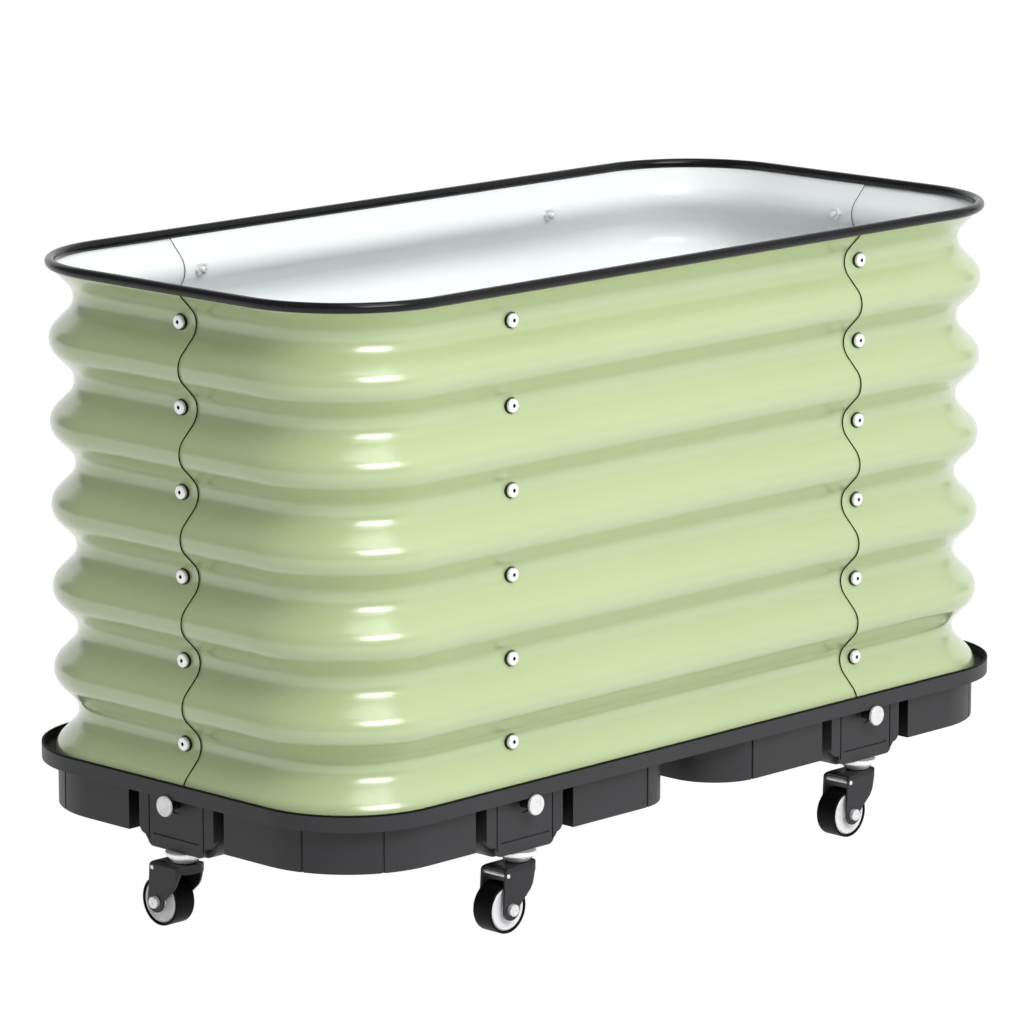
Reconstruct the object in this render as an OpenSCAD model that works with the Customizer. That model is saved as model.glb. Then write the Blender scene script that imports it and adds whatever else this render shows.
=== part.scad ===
// Rolling planter: four lapped corrugated sheets, bolted through their valleys, stand on a
// moulded tray with two basins, and six swivel casters carry the tray.
// Millimetres. The origin is on the floor below the middle, X runs along the long side,
// and the long side at -Y is the front.

/* [Wall] */
// Length of the wall over its crests
wall_l = 905; // [720:5:1090]
// Width of the wall over its crests
wall_w = 439; // [380:1:530]
// Radius of the wall's corners at the crests
wall_corner_r = 112; // [100:1:134]
// Height of one wave of the corrugation
wave_pitch = 75; // [64:1:90]
// Number of waves from the foot to the rim
wave_count = 6; // [3:1:8]
// Depth of the corrugation from crest to valley
wave_depth = 22; // [18:1:26]
// Slope of the straight flanks between crests and valleys
wave_slope = 45; // [40:1:48]
// Thickness of the sheet
sheet_t = 0.8; // [0.6:0.1:1]
// Width of the lap where two sheets are joined
lap_w = 36; // [30:2:48]
// Outward set of the outer sheet at a lap
lap_set = 1.4; // [1.4:0.1:1.8]
// Diameter of the black edging on the rim
rim_d = 9.5; // [8.5:0.5:12]

/* [Wall bolts] */
// Distance of the bolt columns and of the casters from the middle of a long side
station_x = 229; // [180:1:240]
// Diameter of the bolts' domed heads
bolt_head_d = 12.5; // [10:0.5:14]
// Height of the bolts' domed heads
bolt_head_h = 4.2; // [3:0.1:5]
// Diameter of the bolts' shanks
bolt_d = 6; // [5:0.5:6]
// Diameter of the sealing washers
washer_d = 15; // [14.5:0.5:17]
// Width of the nuts across their flats
nut_af = 10; // [9:0.5:11]

/* [Tray] */
// Outward set of the tray's lip from the wall's crests
lip_set = 4.5; // [4.5:0.5:8]
// Radius of the lip's corners
lip_corner_r = 99; // [90:1:110]
// Height of the lip
lip_h = 15; // [12:1:20]
// Thickness of the lip
lip_t = 2; // [2:0.1:2.5]
// Distance of the skirt behind the lip's outer face
skirt_set = 11; // [8:1:14]
// Height of the tray from its underside to the ledge under the wall
tray_h = 49; // [44:1:60]
// Thickness of the tray's walls and floors
tray_t = 3; // [2.4:0.2:3.4]
// Width of the gap between the two basins
basin_gap = 44; // [30:2:60]
// Corner radius of the basins beside that gap
basin_inner_r = 52; // [30:1:60]
// Distance of the moulded grooves in the long sides from the middle
flat_groove_x = 70.6; // [60:0.2:90]

/* [Caster blocks] */
// Width of a block
block_w = 96; // [84:1:100]
// Depth of a block behind the skirt
block_depth = 48; // [44:1:48]
// Width of the block's shoe below the tray
shoe_w = 74; // [60:1:80]
// Open slot between a block and the tray on each side
block_slot = 13.5; // [8:0.5:16]
// Height from the floor to the underside of the blocks
block_z = 71; // [68:1:80]
// Drop of the block's shoe below the tray
shoe_drop = 9.5; // [6:0.5:12]

/* [Plugs] */
// Diameter of a plug's cap
plug_cap_d = 18.4; // [15:0.2:18.8]
// Diameter of a plug's shank
plug_d = 9.9; // [9:0.1:9.9]
// Length of the shank inside the block
plug_l = 22; // [16:1:24]

/* [Casters] */
// Diameter of a wheel over its tyre
wheel_d = 45; // [40:1:48]
// Width of a tyre
tyre_w = 22; // [16:1:22]
// Thickness of a tyre
tyre_t = 2.7; // [2:0.1:4]
// Distance of the axle behind the swivel axis
trail = 22; // [18:1:24]
// Distance of the swivel axis behind the block's face
kingpin_in = 10; // [10:0.5:13]
// Width of the fork over its legs
fork_w = 31; // [30:1:34]
// Diameter of the swivel race
race_d = 35; // [32:1:36]
// Height of the race between the block and the fork
race_h = 10.2; // [7.5:0.3:12]
// Depth of the fork's rim round its leading end
fork_rim_h = 8; // [5:1:10]
// Thickness of the fork's plate
fork_t = 2; // [1.6:0.2:2.4]
// Diameter of the axle bolt's round heads
axle_head_d = 11; // [9:0.5:12]

/* [Hidden] */
$fn = 96;

// Clearances
seat_gap = 0.05;      // between fixed pieces that seat on a curved face
free_gap = 0.3;       // between faces that move past each other
run_gap = 0.05;       // radial, a shaft in its bore
tyre_gap = 0.2;       // radial, between a tyre and its hub

// Wave of the wall, about the middle of the sheet
half_wave = wave_pitch / 2;
wave_r = (half_wave * sin(wave_slope) - wave_depth * cos(wave_slope)) / (2 * (1 - cos(wave_slope)));
flank_l = (half_wave - 2 * wave_r * sin(wave_slope)) / cos(wave_slope);
flank_lap = 0.3;      // the flanks reach this far into the bends
flank_thin = 0.02;    // and are this much thinner, so that they stay inside them
wave_h = wave_pitch * wave_count;

// Heights above the floor
axle_z = wheel_d / 2;
tray_z = block_z + shoe_drop;
ledge_z = tray_z + tray_h;
ledge_t = 3.5;
lip_z = ledge_z - 8;
wall_top_drop = 3.5;  // the wall stops this far below its last crest
rim_drop = 5.8;       // and the middle of the edging lies this far below it
rim_in = 0.8;

// Plan sizes, from the middle
wall_x = wall_l / 2;
wall_y = wall_w / 2;
lip_x = wall_x + lip_set;
lip_y = wall_y + lip_set + 3;
skirt_x = lip_x - skirt_set;
skirt_y = lip_y - skirt_set;
skirt_r = lip_corner_r - 2;

// Bolts
bolt_hole_d = bolt_d + 0.6;
washer_h = 2.8;
trough_r = wave_r - sheet_t / 2;
bolt_rim_h = 0.8;     // straight edge of a head, below its dome
nut_h = 5;
bolt_tip = 2.5;
socket_af = 2.8;
socket_h = 2;
lap_end = lap_w / 2;

// Tray
groove_w = 2.5;
groove_depth = 1.5;
corner_groove_angles = [27, 69.3];
niche_w = block_w + 2 * block_slot;
niche_depth = block_depth + 2;
drain_d = 8;

// Blocks
cover_t = 10;
block_cut = 8;        // radius of the lower corners of the block's front
shoe_r = 7;
block_wall = 3;
block_groove_w = 1.5;
block_groove_depth = 1.2;
block_groove_u = 35;
screw_u = 36;
screw_v = 28;
screw_d = 4;
screw_l = 16;
screw_boss_d = 10;

// Plugs
plug_z = ledge_z - 14.5;
plug_cap_in = -12;    // back face of the cap, in front of the block's face
plug_cap_t = 3;
plug_recess_d = 19;

// Casters
stem_d = 10;
stem_l = 30;
crown_z = block_z - race_h - free_gap;
kingpin_d = 8;
kingpin_head_d = 14;
axle_d = 6;
axle_head_h = 4;
fork_end_r = 9.75;    // round ends of the legs
fork_lead = 15;       // the fork reaches this far ahead of the swivel axis
fork_lead_r = 12;
leg_in = fork_w / 2 - fork_t;
hub_d = wheel_d - 2 * tyre_t;
cross_pin_d = 4;

// Where the casters sit: name, middle of the block's face, and turn about Z
stations = [
    ["front_left", -station_x, -skirt_y, 0],
    ["front_right", station_x, -skirt_y, 0],
    ["back_left", -station_x, skirt_y, 180],
    ["back_right", station_x, skirt_y, 180],
    ["left_side", -skirt_x, 0, -90],
    ["right_side", skirt_x, 0, 90]
];
// Where the bolts stand in columns: x, y, direction of the heads, set of the outer sheet
bolt_columns = [
    [-station_x, -wall_y, -90, 0],
    [station_x, -wall_y, -90, lap_set],
    [station_x, wall_y, 90, 0],
    [-station_x, wall_y, 90, lap_set],
    [-wall_x, 0, 180, lap_set],
    [wall_x, 0, 0, lap_set]
];
body_nodes = [
    "front_panel", "back_panel", "right_corner_panel", "left_corner_panel", "rim_trim",
    "base_tray", "panel_bolts", "panel_washers", "panel_nuts", "block_screws"
];
station_nodes = ["block", "plug", "plug_cap", "race", "fork", "axle", "hub", "tyre"];

// Helpers
module mirrored_x() {
    children();
    mirror([1, 0, 0]) children();
}

module four_corners() mirrored_x() {
    children();
    mirror([0, 1, 0]) children();
}

// Extrudes an outline of (across, up) along Y between two values
module slab_y(from, to) translate([0, to, 0]) rotate([90, 0, 0]) linear_extrude(to - from) children();

// Extrudes an outline of (depth, up) along X between two values
module slab_x(from, to) translate([from, 0, 0]) rotate([90, 0, 90]) linear_extrude(to - from) children();

// Rectangle with round corners, each end with its own radius
module round_slab(x0, x1, half_y, r0, r1) {
    translate([x0, r0 - half_y]) square([r0, 2 * (half_y - r0)]);
    translate([x0 + r0, -half_y]) square([x1 - r1 - x0 - r0, 2 * half_y]);
    translate([x1 - r1, r1 - half_y]) square([r1, 2 * (half_y - r1)]);
    for (side = [-1, 1]) {
        translate([x0 + r0, side * (half_y - r0)]) circle(r0);
        translate([x1 - r1, side * (half_y - r1)]) circle(r1);
    }
}

module round_rect(half_x, half_y, r) {
    square([2 * half_x, 2 * (half_y - r)], center = true);
    square([2 * (half_x - r), 2 * half_y], center = true);
    for (x = [-1, 1], y = [-1, 1]) translate([x * (half_x - r), y * (half_y - r)]) circle(r);
}

// One bend of the sheet between two angles from the outward direction
module bend(low, high) intersection() {
    difference() {
        circle(wave_r + sheet_t / 2);
        circle(wave_r - sheet_t / 2);
    }
    polygon([[0, 0], 2 * wave_r * [cos(low), sin(low)], [2 * wave_r, 0], 2 * wave_r * [cos(high), sin(high)]]);
}

// Section of the corrugated sheet: x outward from the crests, y up from the foot
module wave_section() intersection() {
    union() {
        for (k = [0 : wave_count])
            translate([-sheet_t / 2 - wave_r, wave_pitch * k])
                bend(k == 0 ? 0 : -wave_slope, k == wave_count ? 0 : wave_slope);
        for (k = [0 : wave_count - 1]) {
            translate([wave_r - sheet_t / 2 - wave_depth, wave_pitch * (k + 0.5)])
                rotate(180) bend(-wave_slope, wave_slope);
            for (side = [-1, 1])
                translate([-(sheet_t + wave_depth) / 2, wave_pitch * (k + 0.5 + side / 4)])
                    rotate(-side * wave_slope)
                        square([sheet_t - flank_thin, flank_l + 2 * flank_lap], center = true);
        }
    }
    translate([-2 * wave_depth, 0]) square([3 * wave_depth, wave_h - wall_top_drop]);
}

// A sheet bent round the front left corner, with a flat run along each side of it
module corner_sheet(end_run, long_run, set) translate([0, 0, ledge_z]) {
    corner = [wall_corner_r - wall_x, wall_corner_r - wall_y];
    translate(corner) {
        rotate(180) rotate_extrude(angle = 90) translate([wall_corner_r + set, 0]) wave_section();
        rotate(180) translate([wall_corner_r + set, 0, 0]) rotate([90, 0, 0])
            linear_extrude(end_run) wave_section();
        rotate(-90) translate([wall_corner_r + set, long_run, 0]) rotate([90, 0, 0])
            linear_extrude(long_run) wave_section();
    }
}

// Bolt positions, with local Z along the bolt and zero on the face under the washer
module at_bolts() for (c = bolt_columns) translate([c[0], c[1], ledge_z]) rotate(c[2])
    for (k = [0 : wave_count - 1])
        translate([c[3] - wave_depth, 0, wave_pitch * (k + 0.5)]) rotate([0, 90, 0]) {
            $stack = c[3] + sheet_t;
            children();
        }

module bolt_holes() at_bolts() cylinder(h = 6 * bolt_d, d = bolt_hole_d, center = true);

// Wall
module front_panel() color("#c8d6aa") difference() {
    corner_sheet(wall_y - wall_corner_r + lap_end, station_x + lap_end + wall_x - wall_corner_r, 0);
    bolt_holes();
}

module back_panel() rotate(180) front_panel();

module right_corner_panel() color("#bfce9f") difference() {
    mirror([1, 0, 0])
        corner_sheet(wall_y - wall_corner_r + lap_end, wall_x - wall_corner_r - station_x + lap_end, lap_set);
    bolt_holes();
}

module left_corner_panel() rotate(180) right_corner_panel();

// Section of the edging: a round bead with a slot that follows the sheet's last crest
module rim_section() translate([0, wave_h]) difference() {
    translate([-rim_in, -rim_drop]) circle(d = rim_d);
    intersection() {
        translate([-sheet_t / 2 - wave_r, 0]) difference() {
            circle(wave_r + sheet_t / 2 + lap_set + seat_gap);
            circle(wave_r - sheet_t / 2 - seat_gap);
        }
        translate([-wave_r, -wave_r - wall_top_drop]) square([2 * wave_r, wave_r]);
    }
}

module rim_trim() color("#1d1d1f") translate([0, 0, ledge_z]) four_corners() {
    translate([wall_x - wall_corner_r, wall_y - wall_corner_r]) {
        rotate_extrude(angle = 90) translate([wall_corner_r, 0]) rim_section();
        translate([wall_corner_r, 0, 0]) rotate([90, 0, 0])
            linear_extrude(wall_y - wall_corner_r) rim_section();
        rotate(90) translate([wall_corner_r, wall_x - wall_corner_r, 0]) rotate([90, 0, 0])
            linear_extrude(wall_x - wall_corner_r) rim_section();
    }
}

module panel_bolts() color("#e4e4e2") at_bolts() {
    reach = $stack + nut_h + bolt_tip;
    translate([0, 0, -reach]) cylinder(h = reach + washer_h, d = bolt_d);
    translate([0, 0, washer_h]) difference() {
        dome_h = bolt_head_h - bolt_rim_h;
        dome_r = (pow(bolt_head_d / 2, 2) + pow(dome_h, 2)) / (2 * dome_h);
        intersection() {
            translate([0, 0, bolt_head_h - dome_r]) sphere(dome_r);
            cylinder(h = bolt_head_h, d = bolt_head_d);
        }
        translate([0, 0, bolt_head_h - socket_h])
            cylinder(h = bolt_head_h, d = socket_af / cos(30), $fn = 6);
    }
}

// The washers are pressed into the trough, so their backs are round
module panel_washers() color("#3a3a3c") at_bolts() intersection() {
    difference() {
        cylinder(h = washer_h, d = washer_d);
        cylinder(h = 3 * washer_h, d = bolt_d + 2 * seat_gap, center = true);
    }
    translate([0, 0, trough_r]) rotate([90, 0, 0])
        cylinder(h = 2 * washer_d, r = trough_r - seat_gap, center = true, $fn = 4 * $fn);
}

module panel_nuts() color("#c9c9c7") at_bolts() translate([0, 0, -$stack - seat_gap - nut_h]) {
    difference() {
        cylinder(h = nut_h, d = nut_af / cos(30), $fn = 6);
        cylinder(h = 3 * nut_h, d = bolt_d + 2 * seat_gap, center = true);
    }
}

// Tray
// Outline of the right basin, drawn in by a distance, with its three niches cut out
module basin_plan(inset) difference() {
    round_slab(basin_gap / 2 + inset, skirt_x - inset, skirt_y - inset, basin_inner_r - inset, skirt_r - inset);
    for (side = [-1, 1])
        translate([station_x, side * skirt_y])
            square([niche_w + 2 * inset, 2 * (niche_depth + inset)], center = true);
    translate([skirt_x, 0]) square([2 * (niche_depth + inset), niche_w + 2 * inset], center = true);
}

module skirt_grooves() translate([0, 0, tray_z - 1]) linear_extrude(tray_h - ledge_t) four_corners() {
    translate([flat_groove_x, skirt_y]) square([groove_w, 2 * groove_depth], center = true);
    for (angle = corner_groove_angles)
        translate([skirt_x - skirt_r, skirt_y - skirt_r]) rotate(90 - angle) translate([skirt_r, 0])
            square([2 * groove_depth, groove_w], center = true);
}

module base_tray() color("#464649") difference() {
    union() {
        translate([0, 0, ledge_z - ledge_t]) linear_extrude(ledge_t) difference() {
            round_rect(lip_x - lip_t / 2, lip_y - lip_t / 2, lip_corner_r - lip_t / 2);
            mirrored_x() basin_plan(tray_t);
        }
        translate([0, 0, lip_z]) linear_extrude(lip_h) difference() {
            round_rect(lip_x, lip_y, lip_corner_r);
            round_rect(lip_x - lip_t, lip_y - lip_t, lip_corner_r - lip_t);
        }
        mirrored_x() translate([0, 0, tray_z]) difference() {
            linear_extrude(tray_h) basin_plan(0);
            translate([0, 0, tray_t]) linear_extrude(tray_h) basin_plan(tray_t);
        }
    }
    skirt_grooves();
    four_corners() for (x = [0.45, 1.5])
        translate([station_x * x, skirt_y / 2, tray_z - 1]) cylinder(h = 2 * tray_t, d = drain_d);
    at_screws() cylinder(h = 4 * ledge_t, d = screw_d + 0.6, center = true);
}

// Caster stations: local X runs along the block's face and local Y into the planter
module at_station(s) translate([s[1], s[2], 0]) rotate(s[3]) children();

module at_screws() for (s = stations, side = [-1, 1])
    at_station(s) translate([side * screw_u, screw_v, ledge_z]) children();

module block_screws() color("#b9b9b7") at_screws() {
    translate([0, 0, -screw_l]) cylinder(h = screw_l, d = screw_d);
    cylinder(h = 2.2, d1 = 9, d2 = 6.5);
}

// Front of a block: a plate with round lower corners over a narrower shoe
module block_front() {
    half_w = block_w / 2;
    half_shoe = shoe_w / 2;
    top = ledge_z - ledge_t;
    translate([-half_w, tray_z + block_cut]) square([block_w, top - tray_z - block_cut]);
    translate([-half_w + block_cut, tray_z]) square([block_w - 2 * block_cut, 2 * block_cut]);
    for (side = [-1, 1]) translate([side * (half_w - block_cut), tray_z + block_cut]) circle(block_cut);
    translate([-half_shoe + shoe_r, block_z]) square([shoe_w - 2 * shoe_r, 2 * shoe_drop]);
    translate([-half_shoe, block_z + shoe_r]) square([shoe_w, shoe_drop]);
    for (side = [-1, 1]) translate([side * (half_shoe - shoe_r), block_z + shoe_r]) circle(shoe_r);
}

// Outline of the body behind it, across and in depth
module block_rear_across(inset) {
    low = block_z + inset;
    round = block_cut + shoe_r;
    half_w = block_w / 2 - inset;
    translate([-half_w, low + round]) square([2 * half_w, ledge_z - ledge_t + inset - low - round]);
    translate([-half_w + round, low]) square([2 * (half_w - round), 2 * round]);
    for (side = [-1, 1]) translate([side * (half_w - round), low + round]) circle(round);
}

module block_rear_depth(inset) {
    top = ledge_z - ledge_t + inset;
    polygon([
        [cover_t / 2 + 2.5 * inset, block_z + inset], [block_depth - 14 - inset, block_z + inset],
        [block_depth - inset, block_z + 14 + inset], [block_depth - inset, top],
        [cover_t / 2 + 2.5 * inset, top]
    ]);
}

module block_rear(inset) intersection() {
    slab_y(0, block_depth) block_rear_across(inset);
    slab_x(-block_w, block_w) block_rear_depth(inset);
}

module block() color("#48484b") difference() {
    union() {
        slab_y(0, cover_t) block_front();
        difference() {
            block_rear(0);
            difference() {
                block_rear(block_wall);
                translate([-block_wall / 2, 0, 0]) cube([block_wall, block_w, 2 * block_w]);
                for (side = [-1, 1])
                    translate([side * screw_u, screw_v, 0]) cylinder(h = 2 * block_w, d = screw_boss_d);
                translate([0, kingpin_in, 0]) cylinder(h = block_z + stem_l + 3, d = 2 * stem_d);
                translate([0, 0, plug_z]) rotate([-90, 0, 0])
                    cylinder(h = plug_l + 3, d = plug_d + 6);
            }
        }
    }
    translate([0, kingpin_in, block_z - 1]) cylinder(h = stem_l + 1.5, d = stem_d + 2 * seat_gap);
    translate([0, -1, plug_z]) rotate([-90, 0, 0]) cylinder(h = plug_l + 2, d = plug_d + 2 * run_gap);
    translate([0, -block_groove_depth, plug_z]) rotate([-90, 0, 0])
        cylinder(h = 2 * block_groove_depth, d = plug_recess_d);
    for (side = [-1, 1]) {
        translate([side * block_groove_u, 0, tray_z + 17])
            cube([block_groove_w, 2 * block_groove_depth, 42], center = true);
        translate([side * screw_u, screw_v, ledge_z - screw_l - 1])
            cylinder(h = screw_l, d = screw_d + 2 * seat_gap);
    }
    translate([0, 0, tray_z + 2.5]) cube([60, 2 * block_groove_depth, block_groove_w], center = true);
}

// A plug lies along local Y, its shank inside the block and its flared neck outside
module plug_axis() translate([0, 0, plug_z]) rotate([90, 0, 0]) children();

module plug() color("#232325") plug_axis() {
    neck = -plug_cap_in;
    flare = 0.7;
    translate([0, 0, -plug_l]) cylinder(h = plug_l + 1, d = plug_d);
    cylinder(h = neck - flare, d1 = plug_d - 1, d2 = plug_d + 2.2);
    translate([0, 0, neck - flare]) cylinder(h = flare, d1 = plug_d + 2.2, d2 = plug_cap_d - 2);
    for (k = [1 : 4]) translate([0, 0, k * neck / 6]) cylinder(h = 0.9, d = plug_d + 0.3 + 0.5 * k);
}

module plug_cap() color("#e6e6e4") plug_axis() translate([0, 0, -plug_cap_in]) {
    cylinder(h = plug_cap_t - 0.8, d = plug_cap_d);
    translate([0, 0, plug_cap_t - 0.8]) cylinder(h = 0.8, d1 = plug_cap_d, d2 = plug_cap_d - 1.6);
}

// Casters, with local X along the trail and local Y along the axle
module at_caster() translate([0, kingpin_in, 0]) rotate(180) children();

module race() color("#dcdcda") at_caster() {
    translate([0, 0, block_z]) {
        cylinder(h = stem_l - 2, d = stem_d);
        translate([0, 0, stem_l - 2]) cylinder(h = 2, d1 = stem_d, d2 = stem_d - 3);
    }
    translate([0, 0, crown_z + free_gap]) {
        cylinder(h = 2, d1 = race_d - 5, d2 = race_d - 1);
        translate([0, 0, 2]) cylinder(h = race_h - 4, d = race_d);
        translate([0, 0, race_h - 2]) cylinder(h = 2, d1 = race_d, d2 = race_d - 3);
    }
    translate([0, 0, crown_z - fork_t - free_gap - 0.1]) cylinder(h = fork_t + 1, d = kingpin_d);
    translate([0, 0, crown_z - fork_t - free_gap - 2.6])
        cylinder(h = 2.6, d1 = kingpin_head_d - 3, d2 = kingpin_head_d);
}

// Side of the fork: a rim round the leading end, and legs that narrow to a round end
module fork_side() {
    rim_z = crown_z - fork_rim_h;
    polygon([
        [-trail, crown_z], [-trail, rim_z], [-8.5, rim_z], [-7, crown_z - 12], [-4.6, crown_z - 18.5],
        [-1.5, crown_z - 23.5], [4.4, axle_z + 9.1], [trail - 9.4, axle_z + 1.8], [trail, axle_z],
        [trail + fork_end_r, axle_z], [trail + 7.6, crown_z - 4.5], [trail + 6.6, crown_z - 2.6],
        [trail + 4.6, crown_z - 1.2], [trail, crown_z]
    ]);
    translate([trail, axle_z]) circle(fork_end_r);
}

// Section of the fork: a folded plate with a round bend at each shoulder
module fork_section(inset) {
    bend_r = 5 - inset;
    half_w = fork_w / 2 - inset;
    top = crown_z - inset;
    translate([-half_w, 0]) square([2 * half_w, top - bend_r]);
    translate([-half_w + bend_r, 0]) square([2 * (half_w - bend_r), top]);
    for (side = [-1, 1]) translate([side * (half_w - bend_r), top - bend_r]) circle(bend_r);
}

// The same with its leading end rounded in plan; the trailing end stays open
module fork_shell(inset) intersection() {
    slab_x(-trail, 3 * trail) fork_section(inset);
    linear_extrude(2 * crown_z)
        round_slab(-fork_lead + inset, 2 * trail + inset, fork_w / 2 - inset, fork_lead_r - inset, 1);
}

module fork() color("#3f3e42") at_caster() difference() {
    intersection() {
        difference() {
            fork_shell(0);
            fork_shell(fork_t);
        }
        slab_y(-fork_w, fork_w) fork_side();
    }
    translate([0, 0, crown_z]) cylinder(h = 4 * fork_t, d = kingpin_d + 2 * run_gap, center = true);
    translate([trail, 0, axle_z]) rotate([90, 0, 0])
        cylinder(h = 2 * fork_w, d = axle_d + 2 * seat_gap, center = true);
    at_cross_pin() cylinder(h = 2 * fork_w, d = cross_pin_d + 2 * seat_gap, center = true);
}

module at_cross_pin() translate([trail + 4.2, 0, crown_z - 7]) rotate([90, 0, 0]) children();

// Axle with a round head on each side, and the pin across the fork's legs
module axle() color("#cfcfcd") at_caster() {
    half = fork_w / 2 + seat_gap;
    translate([trail, 0, axle_z]) rotate([-90, 0, 0]) {
        cylinder(h = 2 * half + 2, d = axle_d, center = true);
        for (side = [0, 180]) rotate([side, 0, 0]) translate([0, 0, half]) {
            cylinder(h = axle_head_h - 1, d = axle_head_d);
            translate([0, 0, axle_head_h - 1]) cylinder(h = 1, d1 = axle_head_d, d2 = axle_head_d - 2);
        }
    }
    at_cross_pin() cylinder(h = fork_w + 1, d = cross_pin_d, center = true);
}

module at_wheel() at_caster() translate([trail, 0, axle_z]) rotate([90, 0, 0]) children();

module hub() color("#e2e2e0") at_wheel() difference() {
    union() {
        cylinder(h = tyre_w - 1, d = hub_d, center = true);
        cylinder(h = 2 * (leg_in - free_gap), d = 13, center = true);
    }
    for (side = [0, 180]) rotate([side, 0, 0]) translate([0, 0, tyre_w / 2 - 1.7]) difference() {
        cylinder(h = 2, d = hub_d - 4);
        cylinder(h = 2, d = 17);
    }
    cylinder(h = 2 * fork_w, d = axle_d + 2 * run_gap, center = true);
}

// The tyre's section is as thick as its round shoulders, and stays clear of the hub
module tyre() color("#1b1b1c") at_wheel() rotate_extrude() translate([hub_d / 2, 0]) {
    shoulder_r = (tyre_t - tyre_gap) / 2;
    half_w = tyre_w / 2;
    translate([tyre_gap, shoulder_r - half_w]) square([2 * shoulder_r, 2 * (half_w - shoulder_r)]);
    for (side = [-1, 1])
        translate([tyre_gap + shoulder_r, side * (half_w - shoulder_r)]) circle(shoulder_r);
}

front_panel();
back_panel();
right_corner_panel();
left_corner_panel();
rim_trim();
base_tray();
panel_bolts();
panel_washers();
panel_nuts();
block_screws();
for (s = stations) {
    at_station(s) block();
    at_station(s) plug();
    at_station(s) plug_cap();
    at_station(s) race();
    at_station(s) fork();
    at_station(s) axle();
    at_station(s) hub();
    at_station(s) tyre();
}
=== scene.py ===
"""Looks of the rolling planter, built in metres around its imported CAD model.

X runs along the long side, the front is at -Y, and the floor is at Z = 0.
"""

import logging
import math
from collections.abc import Callable, Iterator
from dataclasses import dataclass, field
from enum import Enum

import bpy
from mathutils import Matrix, Vector


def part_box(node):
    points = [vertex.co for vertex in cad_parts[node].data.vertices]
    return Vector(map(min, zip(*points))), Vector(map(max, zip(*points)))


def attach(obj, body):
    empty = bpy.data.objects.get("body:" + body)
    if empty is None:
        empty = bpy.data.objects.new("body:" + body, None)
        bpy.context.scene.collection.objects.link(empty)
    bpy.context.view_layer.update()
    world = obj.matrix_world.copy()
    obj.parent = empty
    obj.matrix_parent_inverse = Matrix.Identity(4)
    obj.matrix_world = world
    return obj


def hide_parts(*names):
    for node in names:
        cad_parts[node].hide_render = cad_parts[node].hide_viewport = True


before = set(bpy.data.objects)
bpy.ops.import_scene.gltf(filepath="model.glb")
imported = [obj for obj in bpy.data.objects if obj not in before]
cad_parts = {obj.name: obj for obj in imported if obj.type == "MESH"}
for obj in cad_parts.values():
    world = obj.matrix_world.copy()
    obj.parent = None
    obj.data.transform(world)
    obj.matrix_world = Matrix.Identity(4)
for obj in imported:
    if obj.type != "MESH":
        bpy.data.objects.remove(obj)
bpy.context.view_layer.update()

LOG = logging.getLogger("planter")
Point = tuple[float, float, float]
Spot = tuple[float, float]
Colour = tuple[float, float, float]
Test = Callable[[Vector], bool]
Material = bpy.types.Material

ORIGIN: Point = (0.0, 0.0, 0.0)
UP: Point = (0.0, 0.0, 1.0)
FRONT: Point = (0.0, -1.0, 0.0)
BACK: Point = (0.0, 1.0, 0.0)
QUARTER = math.pi / 2
MERGE = 2e-6  # points nearer than this are one point
NEAR = 1e-5  # faces nearer than this to a plane lie in it
SEAT = 0.00005  # between fixed pieces that seat on a curved face
FREE = 0.0003  # between faces that move past each other


class Pick(Enum):
    """What an edit-mode step acts on."""

    POINTS = "VERT"
    EDGES = "EDGE"
    FACES = "FACE"


class Keep(Enum):
    """The part of a piece that a cut keeps, as seen from the cutting piece."""

    OUTSIDE = "DIFFERENCE"
    INSIDE = "INTERSECT"


# Modelling


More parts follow.
